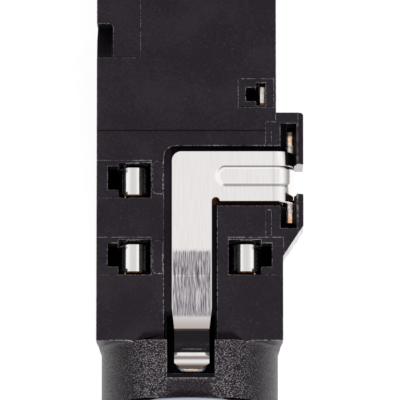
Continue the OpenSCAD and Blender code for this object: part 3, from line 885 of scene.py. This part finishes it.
def press_bead(bm):
    """Raises the stiffening bead along the cross leg and over the bend."""
    half = BEAD_WIDTH / 2
    bm.normal_update()
    moves = []
    for vert in bm.verts:
        to_start = max(0, BEAD_START + half - vert.co.x)
        from_line = math.hypot(to_start, vert.co.y - cross_middle)
        to_rear = 0.5 + 0.5 * (vert.co.y - cross_middle) / max(from_line, CLOSE)
        to_end = to_start / max(from_line, CLOSE)
        edge = BEAD_FRONT_EDGE + (BEAD_REAR_EDGE - BEAD_FRONT_EDGE) * to_rear + BEAD_END_FADE * to_end
        fade = soft_step((vert.co.z - plate_high.z) / BEAD_FOOT)
        climb = (half + BEAD_REAR_EDGE / 2 - from_line) / edge
        straight = BEAD_STRAIGHT * (1 - to_rear)
        raised = straight * min(1, max(0, climb)) + (1 - straight) * soft_step(climb)
        moves.append((vert, vert.normal * BEAD_HEIGHT * fade * raised))
    for vert, move in moves:
        vert.co += move


def sleeve_contact():
    """One stamping from the upturned tip to the solder pin, bent as the real strip is."""
    arm_z = arm_high.z - BEAD_HEIGHT - STRIP_T / 2
    plate_x = (plate_low.x + plate_high.x) / 2
    bend_x = plate_x - BEND_RADIUS
    bend_z = arm_z - BEND_RADIUS
    corners = [Vector((cross_rear, arm_z)), Vector((SLOPE_Y, arm_z)), Vector((DIP_Y, arm_z - SLOPE_DROP)),
               VALLEY, LIP]
    profile = rounded_path(corners, ARM_BEND_RADII)
    bm = bmesh.new()
    sleeve_plan(bm, arm_z, plate_x)
    sleeve_plate(bm, plate_x, bend_z)
    cut_sleeve(bm, profile, bend_x)
    for face in bm.faces:
        face.material_index = sleeve_finish(face.calc_center_median(), bend_x)
    for vert in bm.verts:
        if vert.co.x > bend_x and vert.co.z > bend_z + CLOSE:
            over = min(BEND_RADIUS, vert.co.x - bend_x)
            vert.co.z = bend_z + math.sqrt(BEND_RADIUS ** 2 - over ** 2)
        elif vert.co.x < bend_x:
            vert.co.z = level_on(profile, vert.co.y)
    bmesh.ops.remove_doubles(bm, verts=bm.verts, dist=STRIP_WELD)
    press_bead(bm)
    strip = piece("sleeve_contact", bm, STRIP_FINISHES, ("sleeve_terminal", "sleeve_spring"))
    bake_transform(strip)
    stamped(strip, STRIP_T)


sleeve_contact()


# Ring, detect and tip contacts


def open_edges(bm, x, middle_y, level, width):
    """Open edges at one level of an upright sheet, within a width about its middle."""
    def on_line(vert):
        return (abs(vert.co.x - x) < CLOSE and abs(vert.co.z - level) < CLOSE
                and abs(vert.co.y - middle_y) < width / 2 + CLOSE)

    return [edge for edge in bm.edges if edge.is_boundary and all(on_line(vert) for vert in edge.verts)]


def add_pin(bm, x, middle_y):
    """Extends the middle of a strip's lower edge into a solder pin."""
    cut(bm, "y", (middle_y - PIN_WIDTH / 2, middle_y + PIN_WIDTH / 2))
    lower = open_edges(bm, x, middle_y, POCKET_FLOOR, PIN_WIDTH)
    for vert in new_verts(bmesh.ops.extrude_edge_only(bm, edges=lower)["geom"]):
        vert.co.z = pin_end


def curl_rear(bm, rear):
    """Curls the arch's rear edge slightly upwards."""
    start = rear - CURL_LENGTH
    cut(bm, "y", [start + CURL_LENGTH * step / CURL_STEPS for step in range(CURL_STEPS)],
        lambda centre: centre.z > ARCH_ROOT)
    for vert in bm.verts:
        share = (vert.co.y - start) / CURL_LENGTH
        if share > 0 and vert.co.z > ARCH_ROOT:
            up_arch = soft_step((vert.co.z - ARCH_ROOT) / (ARCH_TOP - ARCH_ROOT))
            vert.co.z += CURL_RISE * share ** 2 * up_arch


def shear_front(bm, front):
    """Draws the arch's front edge out into a short bare lip, as shears leave it."""
    lip_rear = front + SHEAR_LENGTH / 4
    cut(bm, "y", (lip_rear,), lambda centre: centre.z > SHEAR_BASE)
    for face in bm.faces:
        centre = face.calc_center_median()
        if centre.z > SHEAR_BASE and centre.y < lip_rear:
            face.material_index = BARE
    for vert in bm.verts:
        if vert.co.z > SHEAR_BASE and vert.co.y < (front + lip_rear) / 2:
            vert.co.y -= SHEAR_LENGTH
            vert.co.z -= SHEAR_DROP


def bowed_contact(name, side, middle_y, nodes):
    """An inverted U of strip: a free leg by the plug, an arch, and a fixed leg that ends in a pin."""
    corners = [Vector((WALL_X, POCKET_FLOOR)), Vector((WALL_X, ARCH_TOP)), Vector((ARCH_X, ARCH_TOP)),
               TOUCH, LEG_END]
    path = rounded_path(corners, (*ARCH_RADII, LEG_RADIUS))
    front = middle_y - BOW_WIDTH / 2
    bm = bmesh.new()
    line = [bm.verts.new((side * point.x, front, point.y)) for point in path]
    edges = [bm.edges.new(pair) for pair in zip(line, line[1:])]
    made = bmesh.ops.extrude_edge_only(bm, edges=edges)
    bmesh.ops.translate(bm, verts=new_verts(made["geom"]), vec=(0, BOW_WIDTH, 0))
    add_pin(bm, side * WALL_X, middle_y)
    curl_rear(bm, middle_y + BOW_WIDTH / 2)
    shear_front(bm, front)
    bmesh.ops.recalc_face_normals(bm, faces=bm.faces)
    strip = piece(name, bm, STRIP_FINISHES, nodes)
    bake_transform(strip)
    stamped(strip, BOW_T)


def tip_contact():
    """A plate by the right wall with a tongue cut out of it and bent in towards the plug."""
    x = (blade_low.x + blade_high.x) / 2
    middle_y = (blade_low.y + blade_high.y) / 2
    half_cut = TONGUE_WIDTH / 2 + TONGUE_GAP
    cut_floor = POCKET_FLOOR + 2 * BOW_T
    bare_end = blade_low.y + BLADE_BARE_END
    bm = bmesh.new()
    corners = [(blade_low.y, POCKET_FLOOR), (blade_high.y, POCKET_FLOOR), (blade_high.y, blade_high.z),
               (blade_low.y, blade_high.z)]
    bm.faces.new([bm.verts.new((x, y, z)) for y, z in corners])
    cut(bm, "y", [middle_y + side * out for side in (-1, 1) for out in (half_cut, TONGUE_WIDTH / 2)])
    cut(bm, "z", (cut_floor, TONGUE_TOP))
    opening = [face for face in bm.faces if cut_floor < face.calc_center_median().z < TONGUE_TOP
               and abs(face.calc_center_median().y - middle_y) < half_cut]
    bmesh.ops.delete(bm, geom=opening, context="FACES")
    root = open_edges(bm, x, middle_y, TONGUE_TOP, TONGUE_WIDTH)
    line = [Vector((x, TONGUE_TOP)), Vector((x, TONGUE_TOP - TONGUE_ROOT)), TOUCH, LEG_END]
    for point in rounded_path(line, TONGUE_RADII)[1:]:
        made = bmesh.ops.extrude_edge_only(bm, edges=root)["geom"]
        ends = set(new_verts(made))
        for vert in ends:
            vert.co.x = point.x
            vert.co.z = point.y
        root = [edge for edge in new_edges(made) if ends.issuperset(edge.verts)]
    add_pin(bm, x, middle_y)
    bmesh.ops.recalc_face_normals(bm, faces=bm.faces)
    cut(bm, "y", (bare_end,))
    for face in bm.faces:
        centre = face.calc_center_median()
        if centre.z > TONGUE_TOP and centre.y > bare_end:
            face.material_index = TINNED
    strip = piece("tip_contact", bm, STRIP_FINISHES, ("tip_terminal", "tip_spring"))
    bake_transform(strip)
    stamped(strip, BOW_T)


for contact, side in (("ring", -1), ("left_detect", -1), ("right_detect", 1)):
    low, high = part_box(contact + "_terminal")
    bowed_contact(contact + "_contact", side, (low.y + high.y) / 2,
                  (contact + "_terminal", contact + "_spring"))
tip_contact()


# Studio: white floor and world, a key light from the front, and soft light from above and behind

WHITE = rgb(1, 1, 1)
AMBIENT = 0.2
HORIZON_SHARE = 0.4
FRONT_SHARE = 0.04
OVERHEAD_SHARE = 0.86
FLOOR_SIZE = 1.0
FLOOR_GREY = rgb(0.13, 0.13, 0.13)
FLOOR_GLOW = 0.93
CAMERA_ELEVATION = math.radians(80)
CAMERA_TARGET = Vector((0.665, 9.217, 10.44)) * MM
CAMERA_DISTANCE = 0.4323
CAMERA_LENS = 600
CAMERA_SENSOR = 36


def ray_kinds(tree):
    """1 for rays from the camera, and 1 for rays from mirrors and glass."""
    rays = place(tree, "ShaderNodeLightPath").outputs
    return rays["Is Camera Ray"], maths(tree, "MAXIMUM", rays["Is Glossy Ray"], rays["Is Transmission Ray"])


def white_world():
    """White behind the object; mirrors see it greyer overhead and near the horizon, and dark in front."""
    world = bpy.data.worlds.new("white_studio")
    world.use_nodes = True
    tree = world.node_tree
    from_camera, mirrored = ray_kinds(tree)
    towards = place(tree, "ShaderNodeTexCoord").outputs["Generated"]
    _, y, z = place(tree, "ShaderNodeSeparateXYZ", {0: towards}).outputs
    sides = ramp(tree, z, 0.2, 0.8, HORIZON_SHARE, 1.0)
    in_front = ramp(tree, y, -0.78, -0.45, FRONT_SHARE, 1.0)
    overhead = ramp(tree, z, 0.84, 0.99, 1.0, OVERHEAD_SHARE)
    reflected = product(tree, sides, in_front, overhead)
    lit = place(tree, "ShaderNodeMix", {0: mirrored, 2: AMBIENT, 3: reflected}).outputs[0]
    strength = maths(tree, "MAXIMUM", lit, from_camera)
    fill(tree, tree.nodes["Background"], {"Color": WHITE, "Strength": strength})
    bpy.context.scene.world = world


def floor_finish():
    """White to the camera and to mirrors, grey to other light; clear from below, to show the underside."""
    made, tree, shader = material("pale_floor")
    seen = maths(tree, "MAXIMUM", *ray_kinds(tree))
    fill(tree, shader, {"Base Color": FLOOR_GREY, "Roughness": 0.9, "Specular IOR Level": 0.0,
                        "Emission Color": WHITE, "Emission Strength": product(tree, seen, FLOOR_GLOW)})
    below = place(tree, "ShaderNodeNewGeometry").outputs["Backfacing"]
    clear = place(tree, "ShaderNodeBsdfTransparent").outputs[0]
    surface = place(tree, "ShaderNodeMixShader", {0: below, 1: shader.outputs[0], 2: clear}).outputs[0]
    fill(tree, tree.nodes["Material Output"], {"Surface": surface})
    return made


def pale_floor():
    """Floor under the pins, which keeps the shadow."""
    bm = bmesh.new()
    bmesh.ops.create_grid(bm, x_segments=1, y_segments=1, size=FLOOR_SIZE)
    bmesh.ops.translate(bm, verts=bm.verts, vec=(0, 0, cad_low.z))
    floor = meshed("floor", bm, (floor_finish(),))


def aimed(made, target, back, distance):
    """Places a light or a camera at a distance from its target, and turns it to the target."""
    made.location = target + back.normalized() * distance
    made.rotation_euler = (-back).to_track_quat("-Z", "Y").to_euler()


def lamp(name, direction, distance, size, power):
    """A round soft light that shines on the object and isn't seen in its mirrors."""
    data = bpy.data.lights.new(name, "AREA")
    data.shape = "DISK"
    data.size = size
    data.energy = power
    made = in_scene(name, data)
    aimed(made, (cad_low + cad_high) / 2, Vector(direction), distance)
    made.visible_glossy = False


def camera():
    """Looks down on the socket from the front, from far away, as the photograph does."""
    data = bpy.data.cameras.new("camera")
    data.lens = CAMERA_LENS
    data.sensor_width = CAMERA_SENSOR
    made = in_scene("camera", data)
    back = Vector((0, -math.cos(CAMERA_ELEVATION), math.sin(CAMERA_ELEVATION)))
    aimed(made, CAMERA_TARGET, back, CAMERA_DISTANCE)
    bpy.context.scene.camera = made


white_world()
pale_floor()
lamp("front_key", direction=(0.1, -0.8, 0.62), distance=0.35, size=0.1, power=1.6)
lamp("overhead", direction=(0, 0.15, 1), distance=0.4, size=0.3, power=0.15)
lamp("rear_fill", direction=(-0.35, 0.8, 0.5), distance=0.4, size=0.25, power=0.25)
camera()
bpy.context.scene.view_settings.view_transform = "Standard"
